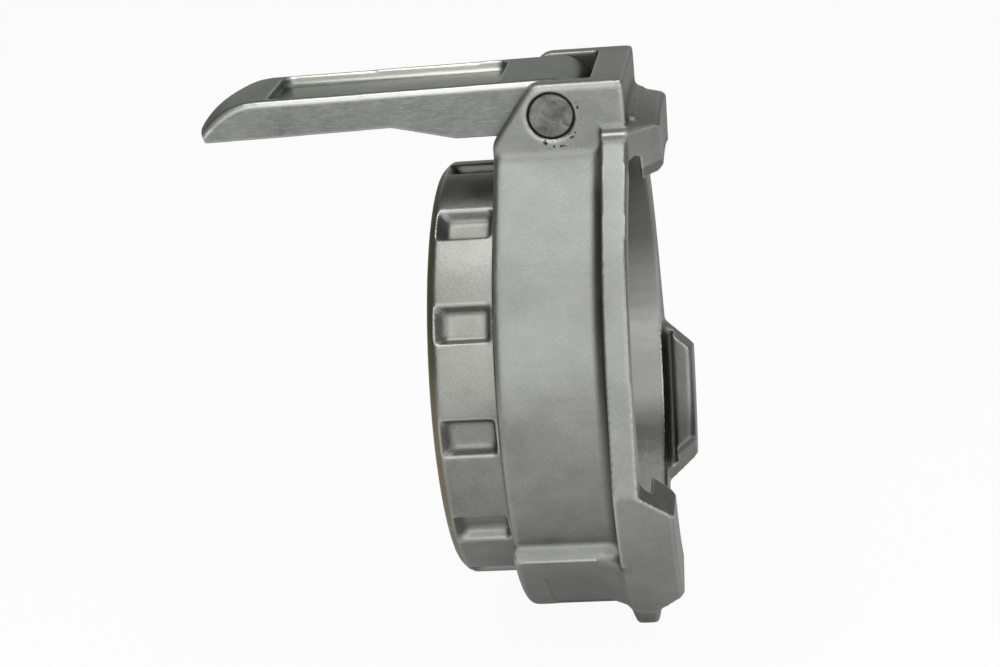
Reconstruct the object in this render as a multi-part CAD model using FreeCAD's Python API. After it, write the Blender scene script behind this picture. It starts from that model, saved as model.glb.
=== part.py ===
import FreeCAD
import Part
import math
import os

# Tank wagon coupling, female half, in cast stainless steel. All sizes are in millimetres.
# The X axis is the axis of the coupling and points out of its mouth. X = 0 is the rear face
# of the threaded socket. Z points up to the closed lever, whose tip points to -X.
# An angle round the axis is counted from +Z towards -Y.

# Female pipe thread, 3 inch, and the bore behind it
thread_major_radius = 43.94
thread_depth = 1.48
thread_length = 21.0
thread_relief_length = 3.2
thread_relief_depth = 0.45
bore_step = 4.46

# Socket outside
collar_wall = 13.46
collar_chamfer = 2.2
socket_length = 36.0
socket_front_chamfer = 0.8
notch_count = 12
notch_width = 10.2
notch_depth = 3.4
notch_draft = 1.5
notch_into_chamfer = 0.4
notch_length = 14.8
notch_ramp = 3.2

# Seals
thread_seal_thickness = 2.5
thread_seal_gap = 0.3
coupling_seal_land = 2.8
coupling_seal_width = 9.4
coupling_seal_height = 7.4
coupling_seal_groove_depth = 6.0
coupling_seal_side_gap = 0.1
seal_lip_depth = 1.0
seal_lip_width = 3.4

# Retaining wire that lets the ring turn on the socket
wire_radius = 1.7
wire_from_front = 12.8
wire_split_angle = 6.0
wire_side_gap = 0.1
wire_groove_spare = 0.4
socket_wire_groove_depth = 3.2

# Lever ring, turned and cast outside
ring_overlap = 18.1
ring_wall = 4.95
ring_running_gap = 0.3
ring_back_round = 2.0
flange_ahead = 10.9
flange_thickness = 6.6
flange_wall = 5.5
flange_round = 0.7
cove_radius = 3.0
mouth_floor_gap = 0.5
mouth_floor_step = 0.8
mouth_flare = 3.0
mouth_chamfer = 0.5

# Straight flanks of the casting that run from the round body out to the ears and claws
flank_angle = 43.65
claw_root_half_angle = 20.0

# Claws
claw_count = 3
claw_length = 8.6
claw_tip_half_angle = 14.0
claw_tip_drop = 1.8
claw_lip_height = 3.0
claw_lip_thickness = 6.0
claw_lead_chamfer = 1.4
claw_tip_round = 1.0
claw_groove_depth = 5.0
claw_groove_into_flange = 0.5
claw_groove_round = 1.4
top_claw_rise = 2.0
top_claw_cove = 2.5

# Raised field and grip lug opposite the lever
field_half_angle = 59.0
field_front_cove = 6.0
panel_back_margin = 7.3
panel_front_margin = 4.3
panel_half_angle = 50.0
panel_inner_angle = 22.0
panel_depth = 0.8
lug_half_width = 12.0
lug_height = 8.7
lug_root_height = 0.5
lug_root_margin = 4.3
lug_top_margin = 1.5
lug_front_setback = 0.1
lug_front_draft = 2.0
lug_round = 1.3

# Pivot pin, placed from the front of the flange and from the ring's outside
pin_from_front = 19.4
pin_rise = 12.95
pin_radius = 6.1
pin_recess = 0.6
pin_chamfer = 0.5
pin_ear_gap = 0.1
pin_lever_gap = 0.1

# Lever: lengths count back from the pin, drops and rises from the pin's height
lever_half_width = 15.8
lever_length = 95.1
lever_tip_bulge = 2.8
lever_tip_drop = 3.3
lever_nose_length = 15.0
lever_lip_length = 0.6
lever_lip_height = 2.0
lever_bend_length = 4.2
lever_bend_height = 6.6
lever_nose_rise = 0.2
lever_nose_top = 7.2
lever_grip_drop = 2.2
lever_step_back = 43.6
lever_step_front = 26.6
lever_root_drop = 6.1
lever_root_front = 8.1
lever_hub_radius = 8.3
recess_back = 77.3
recess_front = 14.1
recess_rim = 2.6
recess_depth = 2.8
recess_corner = 3.5
recess_head_room = 5.0
foot_half_width = 5.8
foot_back_length = 4.6
foot_thickness = 4.0
foot_gap = 0.35
foot_round = 0.8

# Ears, bridge, and the slot and window that the lever works in
lever_side_gap = 0.5
ear_thickness = 6.1
ear_rise = 8.5
ear_slope_drop = 6.9
ear_slope_back = 5.2
ear_slope_round = 5.0
ear_edge_round = 1.8
ear_foot_cove = 4.0
bridge_thickness = 9.0
slot_floor_drop = 9.3
rest_gap = 0.3
rest_back = 10.1
window_back_length = 13.5
window_front_length = 0.7
window_side_gap = 0.6
foot_path_depth = 1.5

# Radii that follow
thread_minor_radius = thread_major_radius - thread_depth
bore_radius = thread_minor_radius - bore_step
collar_radius = thread_major_radius + collar_wall
coupling_seal_inner_radius = bore_radius + coupling_seal_land
coupling_seal_outer_radius = coupling_seal_inner_radius + coupling_seal_width
ring_bore_radius = collar_radius + ring_running_gap
ring_radius = ring_bore_radius + ring_wall
wire_centre_radius = (collar_radius + ring_bore_radius) / 2.0
mouth_floor_radius = ring_bore_radius + mouth_floor_step
mouth_radius = mouth_floor_radius + mouth_flare
flange_radius = mouth_radius + flange_wall
claw_root_radius = flange_radius / math.cos(math.radians(flank_angle - claw_root_half_angle))
claw_lip_radius = mouth_radius - claw_lip_height
claw_groove_radius = mouth_radius + claw_groove_depth
lug_reach = flange_radius + lug_height
lug_root_level = flange_radius + lug_root_height

# Places along the axis that follow
thread_end = thread_length + thread_relief_length
notch_start = collar_chamfer - notch_into_chamfer
notch_end = notch_start + notch_length
wire_place = socket_length - wire_from_front
ring_start = socket_length - ring_overlap
mouth_floor = socket_length + mouth_floor_gap
flange_start = socket_length + flange_ahead
flange_end = flange_start + flange_thickness
claw_tip = flange_end + claw_length
claw_lip_back = claw_tip - claw_lip_thickness
claw_groove_start = flange_end - claw_groove_into_flange
panel_start = ring_start + panel_back_margin
panel_end = flange_start - panel_front_margin
lug_root_start = flange_start - lug_root_margin
lug_top_start = flange_start - lug_top_margin
lug_root_end = flange_end - lug_front_setback
lug_top_end = lug_root_end - lug_front_draft
pin_place = flange_end - pin_from_front
lever_tip = pin_place - lever_length
lever_step_start = pin_place - lever_step_back
lever_step_end = pin_place - lever_step_front
lever_root_end = pin_place - lever_root_front
recess_start = pin_place - recess_back
recess_end = pin_place - recess_front
foot_back = pin_place - foot_back_length
foot_front = foot_back + foot_thickness
ear_slope_top = pin_place - ear_slope_back
bridge_start = flange_end - bridge_thickness
rest_end = pin_place - rest_back
window_back = pin_place - window_back_length
window_front = pin_place + window_front_length

# Heights and widths that follow
pin_height = ring_radius + pin_rise
lever_hub_top = pin_height + lever_hub_radius
lever_tip_low = pin_height - lever_tip_drop
lever_top_at_nose = pin_height + lever_nose_top
lever_grip_bottom = pin_height - lever_grip_drop
lever_root_bottom = pin_height - lever_root_drop
rest_level = lever_root_bottom - rest_gap
ear_top = pin_height + ear_rise
ear_slope_foot = pin_height - ear_slope_drop
slot_floor = pin_height - slot_floor_drop
slot_half_width = lever_half_width + lever_side_gap
ear_half_width = slot_half_width + ear_thickness

axis_origin = FreeCAD.Vector(0, 0, 0)
along_x = FreeCAD.Vector(1, 0, 0)
along_y = FreeCAD.Vector(0, 1, 0)
reach = 200.0
join = 0.5
clear = 1.0
near_enough = 0.01


def side_point(x, z):
    return FreeCAD.Vector(x, 0, z)


def around(x, radius, angle):
    # A point at a place along the axis, a radius and an angle from +Z towards -Y
    turn = math.radians(angle)
    return FreeCAD.Vector(x, -radius * math.sin(turn), radius * math.cos(turn))


def line(first, second):
    return Part.LineSegment(first, second).toShape()


def arc(first, middle, last):
    return Part.Arc(first, middle, last).toShape()


def outline_face(points):
    return Part.Face(Part.makePolygon(points + [points[0]]))


def turned(points, sweep=360.0, start=0.0):
    # A solid turned about the axis from an outline of (x, radius) points
    solid = outline_face([side_point(x, r) for x, r in points]).revolve(axis_origin, along_x, sweep)
    solid.rotate(axis_origin, along_x, start)
    return solid


def tube(x_from, x_to, inner, outer):
    return turned([(x_from, inner), (x_to, inner), (x_to, outer), (x_from, outer)])


def rod(x_from, x_to, radius):
    return Part.makeCylinder(radius, x_to - x_from, side_point(x_from, 0), along_x)


def side_plate(points, half_width):
    # A plate with an outline in the XZ plane and the same width to both sides of it
    plate = outline_face([side_point(x, z) for x, z in points]).extrude(along_y * (2 * half_width))
    plate.translate(along_y * -half_width)
    return plate


def block(x_from, x_to, half_width, z_from, z_to):
    corner = FreeCAD.Vector(x_from, -half_width, z_from)
    return Part.makeBox(x_to - x_from, 2 * half_width, z_to - z_from, corner)


def rounded(solid, radius, chosen):
    # Rounds the edges for which the test given holds
    return solid.makeFillet(radius, [edge for edge in solid.Edges if chosen(edge)])


def edge_middle(edge):
    return edge.valueAt((edge.FirstParameter + edge.LastParameter) / 2.0)


def is_arc_at(edge, x, radius):
    middle = edge_middle(edge)
    box = edge.BoundBox
    flat = abs(box.XMin - x) < near_enough and abs(box.XMax - x) < near_enough
    return flat and abs(math.hypot(middle.y, middle.z) - radius) < near_enough


def socket():
    groove_inner = coupling_seal_inner_radius - coupling_seal_side_gap
    groove_outer = coupling_seal_outer_radius + coupling_seal_side_gap
    groove_floor = socket_length - coupling_seal_groove_depth
    relief_radius = thread_major_radius + thread_relief_depth
    body = turned([
        (0, thread_minor_radius),
        (0, collar_radius - collar_chamfer),
        (collar_chamfer, collar_radius),
        (socket_length - socket_front_chamfer, collar_radius),
        (socket_length, collar_radius - socket_front_chamfer),
        (socket_length, groove_outer),
        (groove_floor, groove_outer),
        (groove_floor, groove_inner),
        (socket_length, groove_inner),
        (socket_length, bore_radius),
        (thread_end, bore_radius),
        (thread_end, relief_radius),
        (thread_length, relief_radius),
        (thread_length, thread_minor_radius),
    ])
    half_groove = wire_radius + wire_side_gap
    groove_bottom = collar_radius - socket_wire_groove_depth
    body = body.cut(tube(wire_place - half_groove, wire_place + half_groove, groove_bottom, reach))
    # Wrench notches, each with a ramp at its rear end and leaning side walls
    notch_top = collar_radius + clear
    notch_bottom = collar_radius - notch_depth
    notch = side_plate([
        (notch_start, notch_top),
        (notch_start, collar_radius),
        (notch_start + notch_ramp, notch_bottom),
        (notch_end, notch_bottom),
        (notch_end, notch_top),
    ], notch_width)
    lean = notch_draft / notch_depth
    half_top = notch_width / 2.0 + lean * clear
    half_bottom = notch_width / 2.0 - notch_draft - lean * clear
    walls = outline_face([
        FreeCAD.Vector(0, -half_bottom, notch_bottom - clear),
        FreeCAD.Vector(0, half_bottom, notch_bottom - clear),
        FreeCAD.Vector(0, half_top, notch_top),
        FreeCAD.Vector(0, -half_top, notch_top),
    ])
    notch = notch.common(walls.extrude(along_x * (notch_end + clear)))
    notches = []
    for index in range(notch_count):
        copy = notch.copy()
        copy.rotate(axis_origin, along_x, index * 360.0 / notch_count)
        notches.append(copy)
    return body.cut(Part.makeCompound(notches))


def thread_seal():
    outer = thread_major_radius + thread_relief_depth - thread_seal_gap
    return tube(thread_end - thread_seal_thickness, thread_end, bore_radius + thread_seal_gap, outer)


def coupling_seal():
    floor = socket_length - coupling_seal_groove_depth
    top = floor + coupling_seal_height
    seal = tube(floor, top, coupling_seal_inner_radius, coupling_seal_outer_radius)
    middle = (coupling_seal_inner_radius + coupling_seal_outer_radius) / 2.0
    half_lip = seal_lip_width / 2.0
    lip_groove = turned([
        (top + clear, middle - half_lip),
        (top, middle - half_lip),
        (top - seal_lip_depth, middle),
        (top, middle + half_lip),
        (top + clear, middle + half_lip),
    ])
    return seal.cut(lip_groove)


def retaining_wire():
    centre = side_point(wire_place, wire_centre_radius)
    section = Part.Face(Part.Wire(Part.Circle(centre, along_y, wire_radius).toShape()))
    wire = section.revolve(axis_origin, along_x, 360.0 - wire_split_angle)
    wire.rotate(axis_origin, along_x, 180.0 + wire_split_angle / 2.0)
    return wire


def flank_prism(x_from, x_to, radius, crest_half_angle):
    # The straight flanks, tangent to the round body, with a round crest between them
    crest = radius / math.cos(math.radians(flank_angle - crest_half_angle))
    centre = side_point(x_from, 0)
    low_left = around(x_from, radius, -flank_angle)
    low_right = around(x_from, radius, flank_angle)
    top_left = around(x_from, crest, -crest_half_angle)
    top_right = around(x_from, crest, crest_half_angle)
    edges = [
        line(centre, low_left),
        line(low_left, top_left),
        arc(top_left, side_point(x_from, crest), top_right),
        line(top_right, low_right),
        line(low_right, centre),
    ]
    return Part.Face(Part.Wire(edges)).extrude(along_x * (x_to - x_from))


def ear_crest_angle(radius):
    # The angle at which a flank of this radius meets the outer face of an ear
    flank = math.radians(flank_angle)
    height = (radius - ear_half_width * math.sin(flank)) / math.cos(flank)
    return math.degrees(math.atan2(ear_half_width, height))


def cove_section(x, level, radius, side):
    # The section of a hollow fillet in the corner between a wall at x and a floor at this level.
    # With side -1 the floor lies behind the wall, with side 1 in front of it.
    top = side_point(x, level + radius)
    foot = side_point(x + side * radius, level)
    bend = radius * (1 - math.sqrt(0.5))
    middle = side_point(x + side * bend, level + bend)
    sunk_foot = side_point(x + side * radius, level - join)
    sunk_corner = side_point(x - side * join, level - join)
    behind = side_point(x - side * join, level + radius)
    edges = [arc(foot, middle, top), line(top, behind), line(behind, sunk_corner)]
    edges += [line(sunk_corner, sunk_foot), line(sunk_foot, foot)]
    return Part.Face(Part.Wire(edges))


def turned_cove(x, level, radius, side, sweep=360.0, start=0.0):
    cove = cove_section(x, level, radius, side).revolve(axis_origin, along_x, sweep)
    cove.rotate(axis_origin, along_x, start)
    return cove


def straight_cove(side):
    # The hollow fillet behind the flange where it runs along the straight flank
    crest_half_angle = ear_crest_angle(ring_radius)
    length = ring_radius * math.tan(math.radians(flank_angle - crest_half_angle))
    cove = cove_section(flange_start, ring_radius, cove_radius, -1).extrude(along_y * length)
    if side < 0:
        cove.translate(along_y * -length)
    cove.rotate(axis_origin, along_x, side * flank_angle)
    return cove


def ear_foot(x_from, x_to, radius):
    # The hollow fillets where the ears' outer faces run into the flanks of this radius
    flank = math.radians(flank_angle)
    height = (radius - ear_half_width * math.sin(flank)) / math.cos(flank)
    half_corner = (math.pi / 2 + flank) / 2
    run = ear_foot_cove / math.tan(half_corner)
    bend = ear_foot_cove / math.sin(half_corner) - ear_foot_cove
    corner = FreeCAD.Vector(x_from, -ear_half_width, height)
    up_ear = FreeCAD.Vector(0, 0, 1)
    down_flank = FreeCAD.Vector(0, -math.cos(flank), -math.sin(flank))
    into_flank = FreeCAD.Vector(0, math.sin(flank), -math.cos(flank))
    outward = (up_ear + down_flank).normalize()
    top = corner + up_ear * run
    foot = corner + down_flank * run
    sunk = [foot + into_flank * join, corner - outward * join, top + along_y * join]
    edges = [arc(top, corner + outward * bend, foot), line(foot, sunk[0])]
    edges += [line(sunk[0], sunk[1]), line(sunk[1], sunk[2]), line(sunk[2], top)]
    near_side = Part.Face(Part.Wire(edges)).extrude(along_x * (x_to - x_from))
    return [near_side, near_side.mirror(axis_origin, along_y)]


def ear_block():
    # Both ears and the bridge between them, before the lever slot is cut
    outline = side_plate([
        (ring_start, ring_bore_radius),
        (ring_start, ear_slope_foot),
        (ear_slope_top, ear_top),
        (flange_end, ear_top),
        (flange_end, ring_bore_radius),
    ], ear_half_width)
    slope_top = FreeCAD.Vector(ear_slope_top, 0, ear_top)
    slope_foot = FreeCAD.Vector(ring_start, 0, ear_slope_foot)

    def on_slope_corner(edge):
        middle = edge_middle(edge)
        nearest = min(middle.distanceToPoint(slope_top), middle.distanceToPoint(slope_foot))
        return edge.BoundBox.YLength > ear_half_width and nearest < near_enough

    outline = rounded(outline, ear_slope_round, on_slope_corner)

    def on_outer_face(edge):
        middle = edge_middle(edge)
        outside = abs(abs(middle.y) - ear_half_width) < near_enough and edge.BoundBox.YLength < near_enough
        inner_end = abs(middle.x - flange_end) < near_enough or abs(middle.z - ring_bore_radius) < near_enough
        rear_end = abs(middle.x - ring_start) < near_enough
        return outside and not inner_end and not rear_end

    return rounded(outline, ear_edge_round, on_outer_face)


def claw(crest_radius):
    # One claw, at the top, with its hooked lip and both ends drawn in towards the tip
    tip_radius = crest_radius - claw_tip_drop
    solid = turned([
        (flange_start, mouth_radius),
        (flange_start, crest_radius),
        (flange_end, crest_radius),
        (claw_tip - claw_tip_round, tip_radius),
        (claw_tip, tip_radius - claw_tip_round),
        (claw_tip, claw_lip_radius + claw_lead_chamfer),
        (claw_tip - claw_lead_chamfer, claw_lip_radius),
        (claw_lip_back, claw_lip_radius),
        (claw_lip_back, mouth_radius),
    ], 2 * claw_root_half_angle, -claw_root_half_angle)
    length = claw_tip - flange_end
    inset = tip_radius * math.sin(math.radians(claw_root_half_angle - claw_tip_half_angle))
    cutter_floor = claw_lip_radius / 2.0
    for side in (-1, 1):
        points = [
            FreeCAD.Vector(flange_end, 0, cutter_floor),
            FreeCAD.Vector(claw_tip + length, 2 * side * inset, cutter_floor),
            FreeCAD.Vector(claw_tip + length, -side * inset, cutter_floor),
        ]
        cutter = outline_face(points).extrude(FreeCAD.Vector(0, 0, crest_radius))
        cutter.rotate(axis_origin, along_x, side * claw_root_half_angle)
        solid = solid.cut(cutter)
    return solid


def claw_groove():
    # The undercut behind the lip of one claw
    spread = claw_root_half_angle + clear
    return turned([
        (claw_groove_start, mouth_radius - clear),
        (claw_groove_start, claw_groove_radius - claw_groove_round),
        (claw_groove_start + claw_groove_round, claw_groove_radius),
        (claw_lip_back, claw_groove_radius),
        (claw_lip_back, mouth_radius - clear),
    ], 2 * spread, -spread)


def raised_field(flange_outline):
    # A thicker strip of the ring, which curves up to the flange and has two shallow panels in it
    sweep = 2 * field_half_angle
    start = 180.0 - field_half_angle
    field = turned([
        (ring_start, ring_bore_radius + clear),
        (ring_start, flange_radius),
        (flange_start + clear, flange_radius),
        (flange_start + clear, ring_bore_radius + clear),
    ], sweep, start)
    field = rounded(field, ring_back_round, lambda edge: is_arc_at(edge, ring_start, flange_radius))
    front = turned_cove(flange_start, flange_radius, field_front_cove, -1, sweep, start)
    front = front.common(flange_outline)
    panel_floor = flange_radius - panel_depth
    for panel_angle in (180.0 - panel_half_angle, 180.0 + panel_inner_angle):
        panel = turned([
            (panel_start, panel_floor),
            (panel_start, flange_radius + clear),
            (panel_end, flange_radius + clear),
            (panel_end, panel_floor),
        ], panel_half_angle - panel_inner_angle, panel_angle)
        field = field.cut(panel)
    return field.fuse(front)


def grip_lug():
    lug = side_plate([
        (lug_root_start, -mouth_radius),
        (lug_root_start, -lug_root_level),
        (lug_top_start, -lug_reach),
        (lug_top_end, -lug_reach),
        (lug_root_end, -lug_root_level),
        (lug_root_end, -mouth_radius),
    ], lug_half_width)
    return rounded(lug, lug_round, lambda edge: edge_middle(edge).z < -lug_root_level - clear)


def ring_of(shape):
    copies = []
    for index in range(claw_count):
        copy = shape.copy()
        copy.rotate(axis_origin, along_x, index * 360.0 / claw_count)
        copies.append(copy)
    return copies


def lever_ring():
    barrel = rod(ring_start, flange_end, ring_radius)
    barrel = rounded(barrel, ring_back_round, lambda edge: is_arc_at(edge, ring_start, ring_radius))
    flange = rod(flange_start, flange_end, flange_radius)
    flange = rounded(flange, flange_round, lambda edge: is_arc_at(edge, flange_end, flange_radius))
    back_flanks = flank_prism(ring_start, flange_start, ring_radius, ear_crest_angle(ring_radius))

    def on_back_flank(edge):
        middle = edge_middle(edge)
        off_axis = math.hypot(middle.y, middle.z) > ring_radius
        beside_ear = abs(middle.y) > ear_half_width + near_enough
        return off_axis and beside_ear and abs(middle.x - ring_start) < near_enough

    back_flanks = rounded(back_flanks, ring_back_round, on_back_flank)
    front_flanks = flank_prism(flange_start, flange_end, flange_radius, ear_crest_angle(flange_radius))
    claw_flanks = flank_prism(flange_start, flange_end, flange_radius, claw_root_half_angle)
    top_claw_radius = claw_root_radius + top_claw_rise
    bridge_cove = turned_cove(flange_end, top_claw_radius, top_claw_cove, 1,
                              2 * claw_tip_half_angle, -claw_tip_half_angle)
    lobe = flank_prism(ring_start, flange_start + clear, flange_radius, claw_root_half_angle)
    flange_outline = rod(ring_start, flange_start + clear, flange_radius).multiFuse(ring_of(lobe)[1:])
    pieces = [flange, back_flanks, front_flanks, straight_cove(-1), straight_cove(1), bridge_cove]
    pieces += [turned_cove(flange_start, ring_radius, cove_radius, -1)]
    pieces += ring_of(claw_flanks)[1:] + ring_of(claw(claw_root_radius))[1:] + [claw(top_claw_radius)]
    pieces += ear_foot(ring_start + ring_back_round, flange_start + join, ring_radius)
    pieces += ear_foot(flange_start, flange_end, flange_radius)
    pieces += [ear_block(), raised_field(flange_outline), grip_lug()]
    casting = barrel.multiFuse(pieces)

    # Bores, from the back of the ring to its mouth
    casting = casting.cut(rod(ring_start - clear, mouth_floor + join, ring_bore_radius))
    mouth = turned([
        (mouth_floor, 0),
        (mouth_floor, mouth_floor_radius),
        (flange_end, mouth_radius),
        (flange_end, 0),
    ])
    casting = casting.cut(mouth)
    mouth_edge = turned([
        (flange_end - mouth_chamfer, mouth_radius),
        (flange_end, mouth_radius + mouth_chamfer),
        (flange_end, mouth_radius - clear),
        (flange_end - mouth_chamfer, mouth_radius - clear),
    ])
    half_groove = wire_radius + wire_side_gap
    groove_top = wire_centre_radius + wire_radius + wire_groove_spare
    groove_start = wire_place - half_groove
    wire_groove = tube(groove_start, groove_start + 2 * half_groove, ring_bore_radius - clear, groove_top)
    casting = casting.cut(mouth_edge).cut(wire_groove)
    for groove in ring_of(claw_groove()):
        casting = casting.cut(groove)

    # Slot for the lever, with a rest on each side of its foot, and the window below the pin
    above = ear_top + reach
    hub_slot = block(rest_end, bridge_start, slot_half_width, slot_floor, above)
    rear_slot = block(ring_start - clear, rest_end + clear, slot_half_width, rest_level, above)
    foot_slot_half = foot_half_width + window_side_gap
    foot_path_floor = ring_radius - foot_path_depth
    foot_path = block(ring_start - clear, window_front, foot_slot_half, foot_path_floor, above)
    window = block(window_back, window_front, foot_slot_half, bore_radius, above)
    casting = casting.cut(hub_slot).cut(rear_slot).cut(foot_path).cut(window)
    hole_start = FreeCAD.Vector(pin_place, -reach / 2, pin_height)
    casting = casting.cut(Part.makeCylinder(pin_radius + pin_ear_gap, reach, hole_start, along_y))
    return casting.removeSplitter()


def pivot_pin():
    half_length = ear_half_width - pin_recess
    start = FreeCAD.Vector(pin_place, -half_length, pin_height)
    pin = Part.makeCylinder(pin_radius, 2 * half_length, start, along_y)
    return pin.makeChamfer(pin_chamfer, [e for e in pin.Edges if e.BoundBox.YLength < near_enough])


def lever_nose_section(offset):
    # The rounded tip of the lever in a plane beside its middle, bulging most in the middle
    forward = lever_tip_bulge * (1 - (offset / lever_half_width) ** 2)
    tip = lever_tip - forward
    back = lever_tip + lever_nose_length
    low = FreeCAD.Vector(tip + lever_lip_length, offset, lever_tip_low)
    front = FreeCAD.Vector(tip, offset, lever_tip_low + lever_lip_height)
    bend = FreeCAD.Vector(tip + lever_bend_length, offset, lever_tip_low + lever_bend_height)
    top = FreeCAD.Vector(back, offset, lever_top_at_nose)
    foot = FreeCAD.Vector(back, offset, lever_tip_low + lever_nose_rise)
    edges = [line(foot, low), line(low, front), arc(front, bend, top), line(top, foot)]
    return Part.Wire(edges)


def lever():
    back = lever_tip + lever_nose_length
    nose_foot = lever_tip_low + lever_nose_rise
    offsets = [lever_half_width * share for share in (-1.0, -0.5, 0.0, 0.5, 1.0)]
    nose = Part.makeLoft([lever_nose_section(offset) for offset in offsets], True, False)
    arm = side_plate([
        (back, nose_foot),
        (back, lever_top_at_nose),
        (pin_place, lever_hub_top),
        (pin_place, pin_height),
        (lever_root_end, lever_root_bottom),
        (lever_step_end, lever_root_bottom),
        (lever_step_start, lever_grip_bottom),
    ], lever_half_width)
    start = FreeCAD.Vector(pin_place, -lever_half_width, pin_height)
    hub = Part.makeCylinder(lever_hub_radius, 2 * lever_half_width, start, along_y)
    foot_level = collar_radius + foot_gap
    foot = block(foot_back, foot_front, foot_half_width, foot_level, pin_height)
    foot = rounded(foot, foot_round, lambda edge: abs(edge_middle(edge).z - foot_level) < near_enough)
    body = arm.multiFuse([nose, hub, foot]).removeSplitter()

    # Recess in the top of the lever
    pocket_half = lever_half_width - recess_rim
    slope = (lever_hub_top - lever_top_at_nose) / (pin_place - back)
    start_top = lever_top_at_nose + slope * (recess_start - back)
    end_top = lever_top_at_nose + slope * (recess_end - back)
    pocket = side_plate([
        (recess_start, start_top - recess_depth),
        (recess_start, start_top + recess_head_room),
        (recess_end, end_top + recess_head_room),
        (recess_end, end_top - recess_depth),
    ], pocket_half)
    pocket = rounded(pocket, recess_corner, lambda edge: edge.BoundBox.ZLength > recess_head_room)
    body = body.cut(pocket)
    bore = pin_radius + pin_lever_gap
    start = FreeCAD.Vector(pin_place, -reach / 2, pin_height)
    return body.cut(Part.makeCylinder(bore, reach, start, along_y))


nodes = {
    "socket": socket(),
    "thread_seal": thread_seal(),
    "coupling_seal": coupling_seal(),
    "retaining_wire": retaining_wire(),
    "lever_ring": lever_ring(),
    "pivot_pin": pivot_pin(),
    "lever": lever(),
}

os.makedirs("parts", exist_ok=True)
for name, shape in nodes.items():
    shape.exportStep("parts/" + name + ".step")
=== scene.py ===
import math
import bmesh
import bpy
import numpy as np
from mathutils import Matrix, Vector


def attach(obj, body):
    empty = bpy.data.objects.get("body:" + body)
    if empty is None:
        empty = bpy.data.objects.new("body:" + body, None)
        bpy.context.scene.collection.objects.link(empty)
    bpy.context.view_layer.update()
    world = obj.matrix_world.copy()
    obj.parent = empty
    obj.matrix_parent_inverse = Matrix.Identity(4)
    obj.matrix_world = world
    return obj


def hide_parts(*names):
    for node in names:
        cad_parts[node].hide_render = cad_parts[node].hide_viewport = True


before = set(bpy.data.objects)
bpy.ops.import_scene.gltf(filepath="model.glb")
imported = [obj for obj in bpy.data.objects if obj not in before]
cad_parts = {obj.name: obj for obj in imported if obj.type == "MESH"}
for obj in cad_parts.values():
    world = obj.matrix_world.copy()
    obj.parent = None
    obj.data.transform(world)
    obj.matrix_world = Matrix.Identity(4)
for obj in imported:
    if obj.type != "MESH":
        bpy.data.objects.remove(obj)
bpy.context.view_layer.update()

scene = bpy.context.scene

# Studio: white paper under the coupling's lug, glowing as painted bounce light, bright in front
# of the coupling and dim beneath it, and soft lamps overhead, in front, low at the left and right,
# on the side of the mouth and behind. The camera stands where the photograph was taken.

camera_azimuth, camera_elevation, camera_roll = (math.radians(a) for a in (7.983, 17.873, -5.394))
camera_distance = 0.694943
camera_target = Vector((0.012647, 0, 0.013201))
camera_back = Vector((
    math.sin(camera_azimuth) * math.cos(camera_elevation),
    -math.cos(camera_azimuth) * math.cos(camera_elevation),
    math.sin(camera_elevation),
))
camera_side = Vector((math.cos(camera_azimuth), math.sin(camera_azimuth), 0))
camera_up = camera_back.cross(camera_side)
camera_turn = Matrix((camera_side, camera_up, camera_back)).transposed()
camera_turn = camera_turn @ Matrix.Rotation(camera_roll, 3, "Z")
camera_place = camera_target + camera_back * camera_distance
camera = bpy.data.objects.new("camera", bpy.data.cameras.new("camera"))
camera.data.lens = 89.83
camera.data.sensor_width = 36
camera.data.shift_y = -0.01364
camera.data.clip_start, camera.data.clip_end = 0.01, 20
camera.matrix_world = Matrix.Translation(camera_place) @ camera_turn.to_4x4()
scene.collection.objects.link(camera)
scene.camera = camera
scene.view_settings.view_transform = "Standard"


class Value:
    """An output of a node, so that maths on its number can be written plainly."""

    def __init__(self, nodes, socket):
        self.nodes = nodes
        self.socket = socket

    def math(self, operation, first, second=0.0):
        return self.nodes.node("ShaderNodeMath", {"operation": operation}, {0: first, 1: second})

    def __add__(self, other):
        return self.math("ADD", self, other)

    __radd__ = __add__

    def __sub__(self, other):
        return self.math("SUBTRACT", self, other)

    def __rsub__(self, other):
        return self.math("SUBTRACT", other, self)

    def __mul__(self, other):
        return self.math("MULTIPLY", self, other)

    __rmul__ = __mul__

    def __truediv__(self, other):
        return self.math("DIVIDE", self, other)

    def lower(self, other):
        return self.math("MINIMUM", self, other)

    def higher(self, other):
        return self.math("MAXIMUM", self, other)

    def size(self):
        return self.math("ABSOLUTE", self)

    def root(self):
        return self.math("SQRT", self)


class Nodes:
    """A node tree and the one method that adds nodes to it."""

    def __init__(self, tree):
        self.tree = tree
        self.tree.nodes.clear()

    def node(self, kind, settings=None, sockets=None, output=0):
        """Sets the settings first, then gives each socket its value or its link."""
        made = self.tree.nodes.new(kind)
        for name, value in (settings or {}).items():
            setattr(made, name, value)
        for key, value in (sockets or {}).items():
            if isinstance(value, Value):
                self.tree.links.new(value.socket, made.inputs[key])
            else:
                made.inputs[key].default_value = value
        return Value(self, made.outputs[output]) if len(made.outputs) else None


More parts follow.
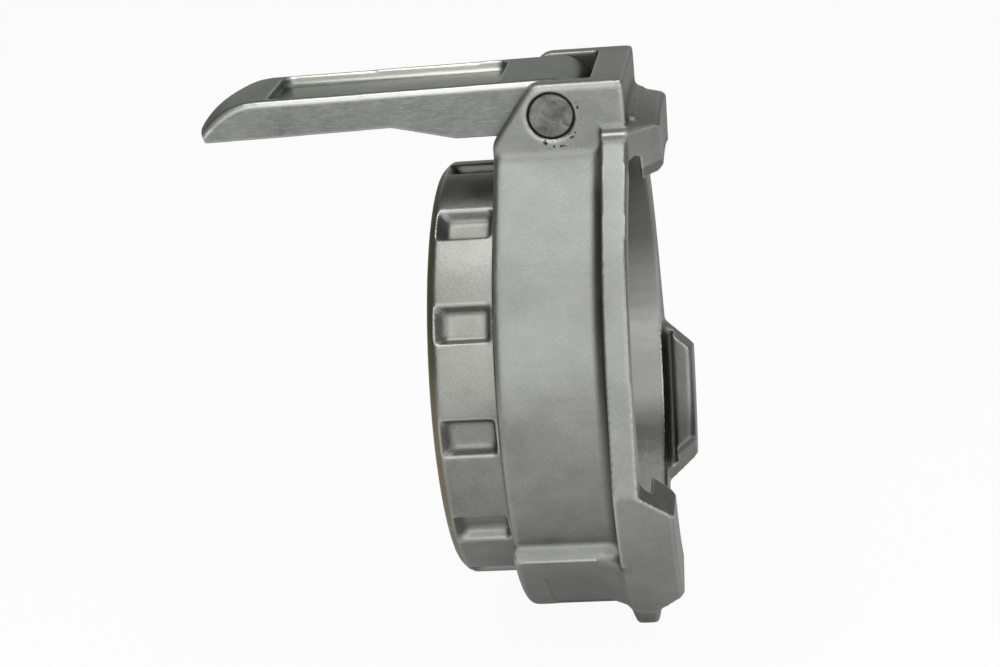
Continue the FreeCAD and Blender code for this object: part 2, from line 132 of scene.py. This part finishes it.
class Finish(Nodes):
    """A surface finish: a material, or the room's world. Its sizes are in millimetres."""

    def __init__(self, data):
        data.use_nodes = True
        super().__init__(data.node_tree)
        self.data = data

    def place(self, stretch=(1, 1, 1)):
        """The place on the piece, stretched along the axes."""
        spot = self.node("ShaderNodeTexCoord", output="Object")
        millimetres = [share * 1000 for share in stretch]
        return self.node("ShaderNodeMapping", {}, {"Vector": spot, "Scale": millimetres})

    def axes(self):
        """The place on the piece as three numbers."""
        split = self.node("ShaderNodeSeparateXYZ", {}, {0: self.place()}).socket.node
        return [Value(self, socket) for socket in split.outputs]

    def noise(self, place, scale, detail=2.0, roughness=0.5, distortion=0.0):
        return self.node("ShaderNodeTexNoise", {}, {
            "Vector": place, "Scale": scale, "Detail": detail,
            "Roughness": roughness, "Distortion": distortion,
        })

    def spread(self, value, low, high, to_low=0.0, to_high=1.0):
        return self.node("ShaderNodeMapRange", {"clamp": True}, {
            "Value": value, "From Min": low, "From Max": high, "To Min": to_low, "To Max": to_high,
        })

    def over(self, value, edge, soft):
        """1 where the value is over the edge and 0 where it is under it."""
        return self.spread(value, edge - soft, edge + soft)

    def under(self, value, edge, soft):
        """1 where the value is under the edge and 0 where it is over it."""
        return self.spread(value, edge + soft, edge - soft)

    def blend(self, amount, first, second):
        sockets = {0: amount, 6: first, 7: second}
        return self.node("ShaderNodeMix", {"data_type": "RGBA"}, sockets, output=2)

    def surface(self, sockets):
        shader = self.node("ShaderNodeBsdfPrincipled", {}, sockets)
        self.node("ShaderNodeOutputMaterial", {}, {"Surface": shader})


room = Finish(bpy.data.worlds.new("room"))
scene.world = room.data
room_glow = room.node("ShaderNodeBackground", {}, {"Color": (1, 1, 1, 1), "Strength": 0.2})
room.node("ShaderNodeOutputWorld", {}, {"Surface": room_glow})

paper_level, paper_half = -0.0758, 12.0
paper_white_share = 0.94
glow_beneath, glow_in_front = 0.04, 0.42

# In millimetres, for its finish:
glow_start, glow_full = -80.0, -110.0

paper_mesh = bpy.data.meshes.new("floor")
paper_mesh.from_pydata([
    (-paper_half, -paper_half, paper_level),
    (paper_half, -paper_half, paper_level),
    (paper_half, paper_half, paper_level),
    (-paper_half, paper_half, paper_level),
], [], [(0, 1, 2, 3)])
floor = bpy.data.objects.new("floor", paper_mesh)
scene.collection.objects.link(floor)
paper = Finish(bpy.data.materials.new("studio_paper"))
paper_matt = paper.node("ShaderNodeBsdfDiffuse", {}, {"Color": (0.88, 0.88, 0.88, 1)})
paper_white = paper.node("ShaderNodeEmission", {}, {"Color": (1, 1, 1, 1), "Strength": 1.0})
paper_seen = paper.node("ShaderNodeLightPath", output="Is Camera Ray")
# Painted bounce light: for all but camera rays the paper glows, dim beneath and bright in front.
paper_glow = paper.spread(paper.axes()[1], glow_start, glow_full, glow_beneath, glow_in_front)
paper_share = paper_seen * paper_white_share + (1 - paper_seen) * paper_glow
paper_mix = paper.node("ShaderNodeMixShader", {}, {0: paper_share, 1: paper_matt, 2: paper_white})
paper.node("ShaderNodeOutputMaterial", {}, {"Surface": paper_mix})
paper_mesh.materials.append(paper.data)

for lamp_name, lamp_place, lamp_size, lamp_power in (
    ("overhead_softbox", (0.0, -0.05, 1.0), (0.7, 0.6), 4.1),
    ("front_softbox", (0.0, -0.80, 0.60), (0.7, 0.9), 3.6),
    ("low_left_softbox", (-0.15, -0.98, 0.14), (0.5, 0.5), 0.7),
    ("low_right_softbox", (0.33, -0.94, 0.0), (0.4, 0.4), 0.9),
    ("mouth_side_softbox", (0.8, -0.6, 0.40), (0.6, 0.6), 1.9),
    ("rear_softbox", (0.0, 1.0, 0.36), (1.2, 0.4), 0.5),
):
    lamp = bpy.data.lights.new(lamp_name, "AREA")
    lamp.shape = "RECTANGLE"
    lamp.size, lamp.size_y = lamp_size
    lamp.energy = lamp_power
    softbox = bpy.data.objects.new(lamp_name, lamp)
    softbox.location = lamp_place
    softbox.rotation_euler = (-Vector(lamp_place)).to_track_quat("-Z", "Y").to_euler()
    softbox.visible_camera = False
    scene.collection.objects.link(softbox)


# Socket: a stainless casting, blasted, then turned inside for the pipe thread, the bore and the
# seal's groove. Its collar has cast wrench notches. The pipe's end screws into its rear.

thread_root = 0.04394
thread_crest = 0.04246
thread_run = 0.021
collar_inside = 0.0530
notch_floor_outside = 0.0565
notch_rear, notch_front = 0.002, 0.0168
turned_passes, collar_passes, notch_passes = 3.0, 5.0, 14.0
wall_tolerance, merge_distance = 0.00002, 0.000002

# In millimetres, for its finish:
bored_within, faced_from = 52.4, 35.75
chamfer_front, chamfer_inside, chamfer_outside = 2.05, 53.2, 55.6
rear_face_inside = 48.0

socket_dark, socket_light = (0.20, 0.20, 0.185, 1), (0.33, 0.33, 0.31, 1)
turned_grey = (0.36, 0.36, 0.35, 1)
# Lighter grey of the convex edges, which are worn and carry a painted highlight:
wear_and_highlight_grey = (0.60, 0.60, 0.58, 1)
glint_white = (0.70, 0.70, 0.68, 1)
# Painted shade for inner corners:
corner_shade = (0.05, 0.048, 0.038, 1)
scratch_brightness = 1.6
cloud_scale, blotch_scale, grain_scale, glint_scale, lathe_scale = 0.03, 0.16, 1.5, 2.6, 5.0
# Brownish painted shade for the rear chamfer:
rear_chamfer_shade_brown = (0.20, 0.165, 0.07, 1)


def read_places(mesh):
    places = np.empty(len(mesh.vertices) * 3, np.float32)
    mesh.vertices.foreach_get("co", places)
    return places.reshape(-1, 3).astype(float)


def write_places(mesh, places):
    mesh.vertices.foreach_set("co", places.astype(np.float32).ravel())
    mesh.update()


def flatten(thing):
    """Turns the thing and its modifiers into a plain mesh."""
    depsgraph = bpy.context.evaluated_depsgraph_get()
    plain = bpy.data.meshes.new_from_object(thing.evaluated_get(depsgraph))
    thing.modifiers.clear()
    thing.data = plain


def soften(mesh, passes):
    """Evens the surface out, each point as many times as its number of passes says."""
    places = read_places(mesh)
    edges = np.empty(len(mesh.edges) * 2, np.int32)
    mesh.edges.foreach_get("vertices", edges)
    first, second = edges.reshape(-1, 2).T
    count = len(places)
    neighbours = np.bincount(first, minlength=count) + np.bincount(second, minlength=count)
    for step in range(int(passes.max())):
        mean = np.empty_like(places)
        for axis in range(3):
            mean[:, axis] = np.bincount(first, places[second, axis], count)
            mean[:, axis] += np.bincount(second, places[first, axis], count)
        mean /= neighbours[:, None]
        share = 0.5 * np.clip(passes - step, 0, 1)[:, None]
        places += share * (mean - places)
    write_places(mesh, places)


def cast_copy(name, grain, passes_at, face_budget, reshape=None):
    """A copy of a solid as it leaves the mould, with every edge and inner corner rounded."""
    built = bmesh.new()
    built.from_mesh(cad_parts[name].data)
    bmesh.ops.remove_doubles(built, verts=built.verts, dist=merge_distance)
    mesh = bpy.data.meshes.new(name + "_cast")
    built.to_mesh(mesh)
    built.free()
    if reshape:
        write_places(mesh, reshape(read_places(mesh)))
    made = bpy.data.objects.new(name + "_cast", mesh)
    scene.collection.objects.link(made)
    remesh = made.modifiers.new("remesh", "REMESH")
    remesh.mode = "VOXEL"
    remesh.voxel_size = grain
    flatten(made)
    soften(made.data, passes_at(read_places(made.data)))
    triangles = 2 * len(made.data.polygons)
    if triangles > face_budget:
        thin = made.modifiers.new("thin", "DECIMATE")
        thin.ratio = face_budget / triangles
        flatten(made)
    made.data.shade_smooth()
    return made


def dress(thing, finish):
    thing.data.materials.clear()
    thing.data.materials.append(finish.data)


class CastSteel(Finish):
    """Blasted cast stainless. The radius is measured from the bore's axis."""

    def __init__(self, name):
        super().__init__(bpy.data.materials.new(name))
        self.x, self.y, self.z = self.axes()
        self.radius = (self.y * self.y + self.z * self.z).root()

    def scratched(self, colour, light, ground):
        """Ground along its length, which leaves bright scratches."""
        scratches = self.noise(self.place((0.3, 1.0, 2.2)), 1.0, 4.0, 0.7, 0.8)
        bright = [share * scratch_brightness for share in light[:3]] + [1]
        return self.blend(self.spread(scratches, 0.45, 0.7) * ground, colour, bright)

    def cast(self, dark, light, roughness, turned=0.0, marks_and_painted_light=(), ground=0.0):
        """Lays the finish: turned where the share is 1, and marks and painted light come last."""
        place = self.place()
        clouds = self.noise(place, cloud_scale, 3.0, 0.55)
        blotches = self.noise(place, blotch_scale, 4.0, 0.6)
        grain = self.noise(place, grain_scale, 4.0, 0.75)
        glints = self.spread(self.noise(place, glint_scale, 2.0, 0.5), 0.66, 0.74)
        bends = self.node("ShaderNodeNewGeometry", output="Pointiness")
        # Convex edges, found by pointiness: wear and a painted highlight.
        wear_and_edge_highlight = self.spread(bends, 0.507, 0.535)
        # Inner corners, found by pointiness: painted shade.
        corner = self.spread(bends, 0.49, 0.44) * (1 - turned)
        tone = self.spread(clouds * 0.45 + blotches * 0.25 + grain * 0.3, 0.38, 0.62)
        colour = self.blend(tone, dark, light)
        if ground:
            colour = self.scratched(colour, light, ground)
        colour = self.blend(turned * 0.6, colour, turned_grey)
        colour = self.blend(wear_and_edge_highlight * 0.6, colour, wear_and_highlight_grey)
        colour = self.blend(glints * 0.3, colour, glint_white)
        colour = self.blend(corner * 0.75, colour, corner_shade)
        # Extra marks, painted shade and painted highlights, laid over all else.
        for share, tint in marks_and_painted_light:
            colour = self.blend(share, colour, tint)
        rough = (blotches - 0.5) * 0.15 + (grain - 0.5) * 0.3 + roughness
        rough = rough - wear_and_edge_highlight * 0.1 + corner * 0.15 - turned * 0.1
        waves = self.node("ShaderNodeBump", {}, {
            "Strength": 0.25, "Distance": 0.0002, "Height": blotches * (1 - turned),
        })
        lathe_place = self.node("ShaderNodeCombineXYZ", {}, {0: self.x, 1: self.radius, 2: 0.0})
        lathe_lines = self.noise(lathe_place, lathe_scale, 2.0, 0.6)
        skin = self.node("ShaderNodeBump", {}, {
            "Strength": 0.7, "Distance": 0.0001, "Normal": waves,
            "Height": grain * (1 - turned * 0.8) + lathe_lines * turned * 0.25,
        })
        self.surface({"Base Color": colour, "Metallic": 1.0, "Roughness": rough, "Normal": skin})


def open_thread_wall(places):
    """Moves the plain wall out to the roots of the thread, whose ridge is a piece of its own."""
    radius = np.hypot(places[:, 1], places[:, 2])
    wall = (np.abs(radius - thread_crest) < wall_tolerance) & (places[:, 0] < thread_run + 0.0001)
    moved = places.copy()
    moved[wall, 1:] *= (thread_root / radius[wall])[:, None]
    return moved


def socket_passes_at(places):
    """Turned faces keep their corners, and the floors of the cast notches are rounded most."""
    x, y, z = places.T
    radius = np.hypot(y, z)
    collar = radius > collar_inside
    notch = collar & (radius < notch_floor_outside) & (x > notch_rear) & (x < notch_front)
    return np.select([notch, collar], [notch_passes, collar_passes], turned_passes)


socket = cast_copy(
    "socket", grain=0.0005, passes_at=socket_passes_at, face_budget=190000, reshape=open_thread_wall)
socket_steel = CastSteel("socket_steel")
socket_bored = socket_steel.under(socket_steel.radius, bored_within, 0.2)
socket_faced = socket_steel.over(socket_steel.x, faced_from, 0.15)
# Brownish painted shade on the rear face and its outer chamfer, strongest at the outside.
rear_chamfer_shade = socket_steel.under(socket_steel.x, chamfer_front, 0.35)
rear_chamfer_shade = rear_chamfer_shade * socket_steel.spread(
    socket_steel.radius, chamfer_inside, chamfer_outside, 0.12, 0.75)
rear_chamfer_shade = rear_chamfer_shade * socket_steel.over(socket_steel.radius, rear_face_inside, 1.0)
socket_steel.cast(
    socket_dark, socket_light, roughness=0.36, turned=socket_bored.higher(socket_faced),
    marks_and_painted_light=[(rear_chamfer_shade, rear_chamfer_shade_brown)])
dress(socket, socket_steel)
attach(socket, "socket")
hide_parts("socket")


# Pipe thread: one right hand ridge of V section with a narrow flat top, turned in the socket's
# wall. It fades out at both ends. Its pitch is that of a 3 inch pipe, 11 turns to the inch.

thread_pitch = 0.002309
thread_inset = 0.0009
ridge_sunk = 0.0002
ridge_foot_pitches, ridge_top_pitches = 1.06, 0.12
ridge_points_a_turn = 96
fade_a_turn, fade_least = 1.6, 0.04


class Geometry(Nodes):
    """A geometry node tree with named inputs."""

    def __init__(self, name, inputs):
        tree = bpy.data.node_groups.new(name, "GeometryNodeTree")
        super().__init__(tree)
        self.values = {}
        for label, (kind, value) in inputs.items():
            socket = tree.interface.new_socket(label, in_out="INPUT", socket_type=kind)
            self.values[socket.identifier] = value
        tree.interface.new_socket("Geometry", in_out="OUTPUT", socket_type="NodeSocketGeometry")
        entry = self.node("NodeGroupInput").socket.node
        self.inputs = {label: Value(self, entry.outputs[label]) for label in inputs}

    def make(self, name, geometry, finish):
        """Closes the tree and returns its result as a plain object."""
        geometry = self.node("GeometryNodeRealizeInstances", {}, {"Geometry": geometry})
        geometry = self.node("GeometryNodeSetMaterial", {}, {
            "Geometry": geometry, "Material": finish.data,
        })
        self.node("NodeGroupOutput", {}, {0: geometry})
        made = bpy.data.objects.new(name, bpy.data.meshes.new(name))
        scene.collection.objects.link(made)
        build = made.modifiers.new("build", "NODES")
        build.node_group = self.tree
        for identifier, value in self.values.items():
            build[identifier] = value
        flatten(made)
        return made


ridge = Geometry("thread_ridge", {
    "Pitch": ("NodeSocketFloat", thread_pitch),
    "Length": ("NodeSocketFloat", thread_run - 2 * thread_inset),
    "Root Radius": ("NodeSocketFloat", thread_root),
    "Crest Radius": ("NodeSocketFloat", thread_crest),
})
turns = ridge.inputs["Length"] / ridge.inputs["Pitch"]
ridge_path = ridge.node("GeometryNodeCurveSpiral", {}, {
    "Resolution": ridge_points_a_turn, "Rotations": turns,
    "Start Radius": ridge.inputs["Root Radius"], "End Radius": ridge.inputs["Root Radius"],
    "Height": ridge.inputs["Length"],
})
ridge_path = ridge.node("GeometryNodeSetCurveNormal", {}, {"Curve": ridge_path})
along = ridge.node("GeometryNodeSplineParameter", output="Factor")
fade = (along.lower(1 - along) * turns * fade_a_turn + fade_least).lower(1.0)
depth = ridge.inputs["Root Radius"] - ridge.inputs["Crest Radius"]
section = ridge.node("GeometryNodeCurvePrimitiveQuadrilateral", {"mode": "TRAPEZOID"}, {
    "Height": depth + ridge_sunk, "Bottom Width": ridge.inputs["Pitch"] * ridge_foot_pitches,
    "Top Width": ridge.inputs["Pitch"] * ridge_top_pitches, "Offset": 0.0,
})
middle = ridge.node("ShaderNodeCombineXYZ", {}, {0: (depth - ridge_sunk) * 0.5, 1: 0.0, 2: 0.0})
section = ridge.node("GeometryNodeTransform", {}, {
    "Geometry": section, "Rotation": (0, 0, -math.pi / 2), "Translation": middle,
})
ridge_mesh = ridge.node("GeometryNodeCurveToMesh", {}, {
    "Curve": ridge_path, "Profile Curve": section, "Scale": fade, "Fill Caps": True,
})
ridge_mesh = ridge.node("GeometryNodeFlipFaces", {}, {"Mesh": ridge_mesh})
ridge_mesh = ridge.node("GeometryNodeTransform", {}, {
    "Geometry": ridge_mesh, "Rotation": (0, math.pi / 2, 0), "Translation": (thread_inset, 0, 0),
})
thread = ridge.make("pipe_thread", ridge_mesh, socket_steel)
dress(thread, socket_steel)
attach(thread, "socket")


# Thread seal: a flat washer of moulded black rubber. It lies in the relief behind the thread, and
# the pipe's end is screwed down on it.

rubber_black, rubber_bloom = (0.018, 0.018, 0.018, 1), (0.05, 0.05, 0.047, 1)

seal_rubber = Finish(bpy.data.materials.new("seal_rubber"))
rubber_place = seal_rubber.place()
rubber_cloud = seal_rubber.noise(rubber_place, 0.12, 4.0, 0.6)
rubber_grain = seal_rubber.noise(rubber_place, 4.0, 3.0, 0.6)
seal_rubber.surface({
    "Base Color": seal_rubber.blend(
        seal_rubber.spread(rubber_cloud, 0.4, 0.7), rubber_black, rubber_bloom),
    "Roughness": seal_rubber.spread(rubber_cloud, 0.3, 0.7, 0.55, 0.8),
    "Normal": seal_rubber.node("ShaderNodeBump", {}, {
        "Strength": 0.35, "Distance": 0.00006, "Height": rubber_grain,
    }),
})
dress(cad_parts["thread_seal"], seal_rubber)


# Coupling seal: a ring of the same moulded rubber, with a shallow groove in its face. It is pushed
# into the groove of the socket's front face, and the flange of the other half is pressed on it.

dress(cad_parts["coupling_seal"], seal_rubber)


# Retaining wire: a drawn steel wire, bent to a ring that is split at the bottom. It lies in
# matching grooves of the socket and the lever ring, which turns on it.

wire_dark, wire_light = (0.42, 0.42, 0.42, 1), (0.62, 0.62, 0.61, 1)

wire_steel = Finish(bpy.data.materials.new("wire_steel"))
drawn = wire_steel.noise(wire_steel.place(), 1.5, 3.0, 0.6)
wire_steel.surface({
    "Base Color": wire_steel.blend(drawn, wire_dark, wire_light),
    "Metallic": 1.0, "Roughness": wire_steel.spread(drawn, 0.3, 0.7, 0.22, 0.38),
})
dress(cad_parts["retaining_wire"], wire_steel)


# Lever ring: a stainless casting, blasted outside. Its bores and the mouth are turned. It carries
# three hooked claws, the ears for the lever and a lug to hold it by.

ring_bore = 0.0617
ring_outside, flange_outside = 0.06265, 0.06700
field_end, field_end_band, field_lean = math.radians(59.0), 0.003, math.radians(1.45)
field_front = 0.0470
run_up_top, run_up_inside = -0.035, 0.064
run_up_rear, run_up_front = 0.040, 0.050
lug_half_width, lug_foot = 0.0130, 0.0668
bridge_edge_level, bridge_edge_rear = 0.0815, 0.0515
claws_rear = 0.0537
sharp_passes, ring_passes, bridge_passes, run_up_passes = 2.5, 5.0, 14.0, 80.0

# In millimetres, for its finish and the pin's:
bore_wall, mouth_floor, mouth_front = 61.9, 36.6, 53.4
mouth_dark_above, mouth_dark_beneath = 12.0, -34.0
hollow_rear, hollow_front, hollow_bottom = 44.4, 46.9, -31.0
hollow_inside, hollow_outside = 62.2, 65.8
slot_side, slot_floor, slot_front = 16.5, 66.3, 44.7
ear_face = 21.25
pin_place, pin_height, pin_radius = 34.1, 75.6, 6.1
pits_reach = 9.0

ring_dark, ring_light = (0.215, 0.22, 0.21, 1), (0.33, 0.335, 0.322, 1)
# Colours of painted shade in the mouth, behind the flange, in the slot and pin gap, and of pits:
mouth_shade = (0.10, 0.10, 0.095, 1)
hollow_shade = (0.06, 0.06, 0.045, 1)
slot_pin_shade_and_pits = (0.03, 0.03, 0.026, 1)


def ring_passes_at(places):
    """Rounds the cast outside, most of all where the raised field runs up to the flange."""
    x, y, z = places.T
    radius = np.hypot(y, z)
    sharp = (radius < ring_bore) | (x > claws_rear)
    bridge_edge = (z > bridge_edge_level) & (x > bridge_edge_rear)
    run_up = (z < run_up_top) & (x > run_up_rear) & (x < run_up_front) & (radius > run_up_inside)
    beside_lug = (np.abs(y) > lug_half_width) | (radius < lug_foot)
    return np.select(
        [sharp, bridge_edge, run_up & beside_lug],
        [sharp_passes, bridge_passes, run_up_passes], ring_passes)


def lean_field_ends(places):
    """Gives the ends of the raised field the draft with which they leave the mould."""
    x, y, z = places.T
    radius = np.hypot(y, z)
    angle = np.arctan2(-y, -z)
    at_end = np.abs(np.abs(angle) - field_end) < field_end_band
    at_end = at_end & (x < field_front) & (radius > ring_outside)
    height = np.clip((radius - ring_outside) / (flange_outside - ring_outside), 0, 1)
    angle = angle - at_end * np.sign(angle) * height * field_lean
    return np.column_stack((x, -radius * np.sin(angle), -radius * np.cos(angle)))


def from_pin_axis(x, z):
    """The distance from the pin's axis."""
    across, up = x - pin_place, z - pin_height
    return (across * across + up * up).root()


def ring_shade_and_pits(steel):
    """Painted shade in the mouth, behind the flange, in the slot and round the pin; dark pits."""
    x, z, side, radius = steel.x, steel.z, steel.y.size(), steel.radius
    # Painted shade in the turned mouth, towards its top and its bottom.
    in_mouth = steel.under(radius, bore_wall, 0.1) * steel.over(x, mouth_floor, 0.2)
    dark_above = steel.over(z, mouth_dark_above, 6.0) * 0.5
    dark_beneath = steel.under(z, mouth_dark_beneath, 4.0) * 0.7
    # Painted shade in the hollow behind the flange.
    in_hollow = steel.over(x, hollow_rear, 1.0) * steel.under(x, hollow_front, 0.2)
    in_hollow = in_hollow * steel.over(radius, hollow_inside, 0.2)
    in_hollow = in_hollow * steel.under(radius, hollow_outside, 0.8)
    in_hollow = in_hollow * steel.over(z, hollow_bottom, 3.0)
    # Painted shade in the lever's slot.
    in_slot = steel.under(side, slot_side, 0.1) * steel.over(z, slot_floor, 0.3)
    in_slot = in_slot * steel.under(x, slot_front, 0.1)
    from_pin = from_pin_axis(x, z)
    forward, up = x - pin_place, z - pin_height
    # Painted shadow of the gap round the pin, strongest at the front and the top.
    round_pin = steel.spread(from_pin, pin_radius + 0.4, pin_radius + 0.15)
    round_pin = round_pin * steel.over(side, ear_face, 0.25)
    round_pin = round_pin * steel.spread(forward + up, -7.0, 3.0, 0.35, 1.0)
    pits = steel.over(steel.noise(steel.place(), 0.95, 1.0, 0.5), 0.64, 0.02)
    pits = pits * steel.under(from_pin, pits_reach, 0.5) * steel.over(forward - up, 4.0, 1.0)
    return [
        (in_mouth * dark_above.higher(dark_beneath), mouth_shade),
        (in_hollow * 0.7, hollow_shade),
        ((round_pin * 0.7).higher(in_slot * 0.7).higher(pits), slot_pin_shade_and_pits),
    ]


ring_steel = CastSteel("ring_steel")
ring_bored = ring_steel.under(ring_steel.radius, bore_wall, 0.1)
ring_bored = ring_bored * ring_steel.under(ring_steel.x, mouth_front, 0.1)
ring_steel.cast(
    ring_dark, ring_light, roughness=0.42, turned=ring_bored, marks_and_painted_light=ring_shade_and_pits(ring_steel))
ring = cast_copy(
    "lever_ring", grain=0.0005, passes_at=ring_passes_at, face_budget=195000,
    reshape=lean_field_ends)
dress(ring, ring_steel)
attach(ring, "ring")
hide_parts("lever_ring")


# Lever: a stainless casting with a recess in its top, ground along its sides. It swings on the pin,
# and its cam foot, below the pin, reaches through the ring's wall almost to the socket's collar.

lever_side = 0.0142
nose_rear_of = -0.046
nose_edge_level, handle_edge_level = 0.0760, 0.0800
lever_passes, lever_edge_passes = 3.0, 36.0

# In millimetres, for its finish:
recess_side_inner, recess_side_outer = 12.8, 13.6
recess_floor, recess_rear, recess_front = 80.9, -42.0, 18.75
lever_top, lever_top_rise, nose_fall = 83.43, 0.0137, 0.036
bright_depth, bright_side = 1.5, 14.95

lever_dark, lever_light = (0.155, 0.165, 0.154, 1), (0.25, 0.262, 0.246, 1)
# Colours of the painted highlights on the recess walls and the long upper edges:
recess_wall_highlight = (0.78, 0.79, 0.72, 1)
upper_edge_highlight = (0.70, 0.71, 0.67, 1)


def lever_passes_at(places):
    """The long upper edges are rounded most."""
    x, y, z = places.T
    edge_level = np.where(x < nose_rear_of, nose_edge_level, handle_edge_level)
    upper_edge = (np.abs(y) > lever_side) & (z > edge_level)
    return np.where(upper_edge, lever_edge_passes, lever_passes)


def lever_highlights(steel):
    """Painted highlights on the walls of the recess and on the long upper edges."""
    x, z, side = steel.x, steel.z, steel.y.size()
    recess_wall = steel.over(side, recess_side_inner, 0.2)
    recess_wall = recess_wall * steel.under(side, recess_side_outer, 0.2)
    recess_wall = recess_wall * steel.over(z, recess_floor, 0.3)
    recess_wall = recess_wall * steel.over(x, recess_rear, 2.0) * steel.under(x, recess_front, 1.75)
    nose = (nose_rear_of * 1000 - x).higher(0.0)
    below_top = x * lever_top_rise + lever_top - nose * nose * nose_fall - z
    upper_edge = steel.under(below_top, bright_depth, 0.4) * steel.over(side, bright_side, 0.25)
    return [(recess_wall, recess_wall_highlight), (upper_edge * 0.8, upper_edge_highlight)]


lever_steel = CastSteel("lever_steel")
lever_steel.cast(
    lever_dark, lever_light, roughness=0.38, marks_and_painted_light=lever_highlights(lever_steel), ground=0.45)
lever = cast_copy("lever", grain=0.0004, passes_at=lever_passes_at, face_budget=130000)
dress(lever, lever_steel)
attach(lever, "lever")
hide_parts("lever")


# Pivot pin: a rod of steel, cut off rough. It is driven through both ears and the lever and staked
# at its ends, and the lever turns on it.

pin_dark, pin_light = (0.12, 0.12, 0.115, 1), (0.24, 0.24, 0.23, 1)
pin_scratch = (0.42, 0.42, 0.40, 1)
# Painted shadow of the gap round the pin, for its rim:
pin_rim_shade = (0.025, 0.025, 0.022, 1)

pin_steel = Finish(bpy.data.materials.new("pin_steel"))
pin_x, _, pin_z = pin_steel.axes()
# Painted shadow of the gap round the pin, darkening its rim.
pin_rim = pin_steel.over(from_pin_axis(pin_x, pin_z), pin_radius - 0.2, 0.1)
dents = pin_steel.noise(pin_steel.place(), 0.22, 3.0, 0.55, 0.6)
scratches = pin_steel.noise(pin_steel.place((1.0, 1.0, 0.35)), 1.1, 4.0, 0.7)
pin_tint = pin_steel.blend(pin_steel.spread(dents, 0.35, 0.65), pin_dark, pin_light)
pin_tint = pin_steel.blend(pin_steel.spread(scratches, 0.6, 0.75) * 0.4, pin_tint, pin_scratch)
pin_tint = pin_steel.blend(pin_rim * 0.5, pin_tint, pin_rim_shade)
pin_skin = pin_steel.node("ShaderNodeBump", {}, {
    "Strength": 0.8, "Distance": 0.0012, "Height": dents * 0.8 + scratches * 0.2,
})
pin_steel.surface({
    "Base Color": pin_tint, "Metallic": 1.0, "Roughness": scratches * 0.3 + 0.3, "Normal": pin_skin,
})
dress(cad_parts["pivot_pin"], pin_steel)
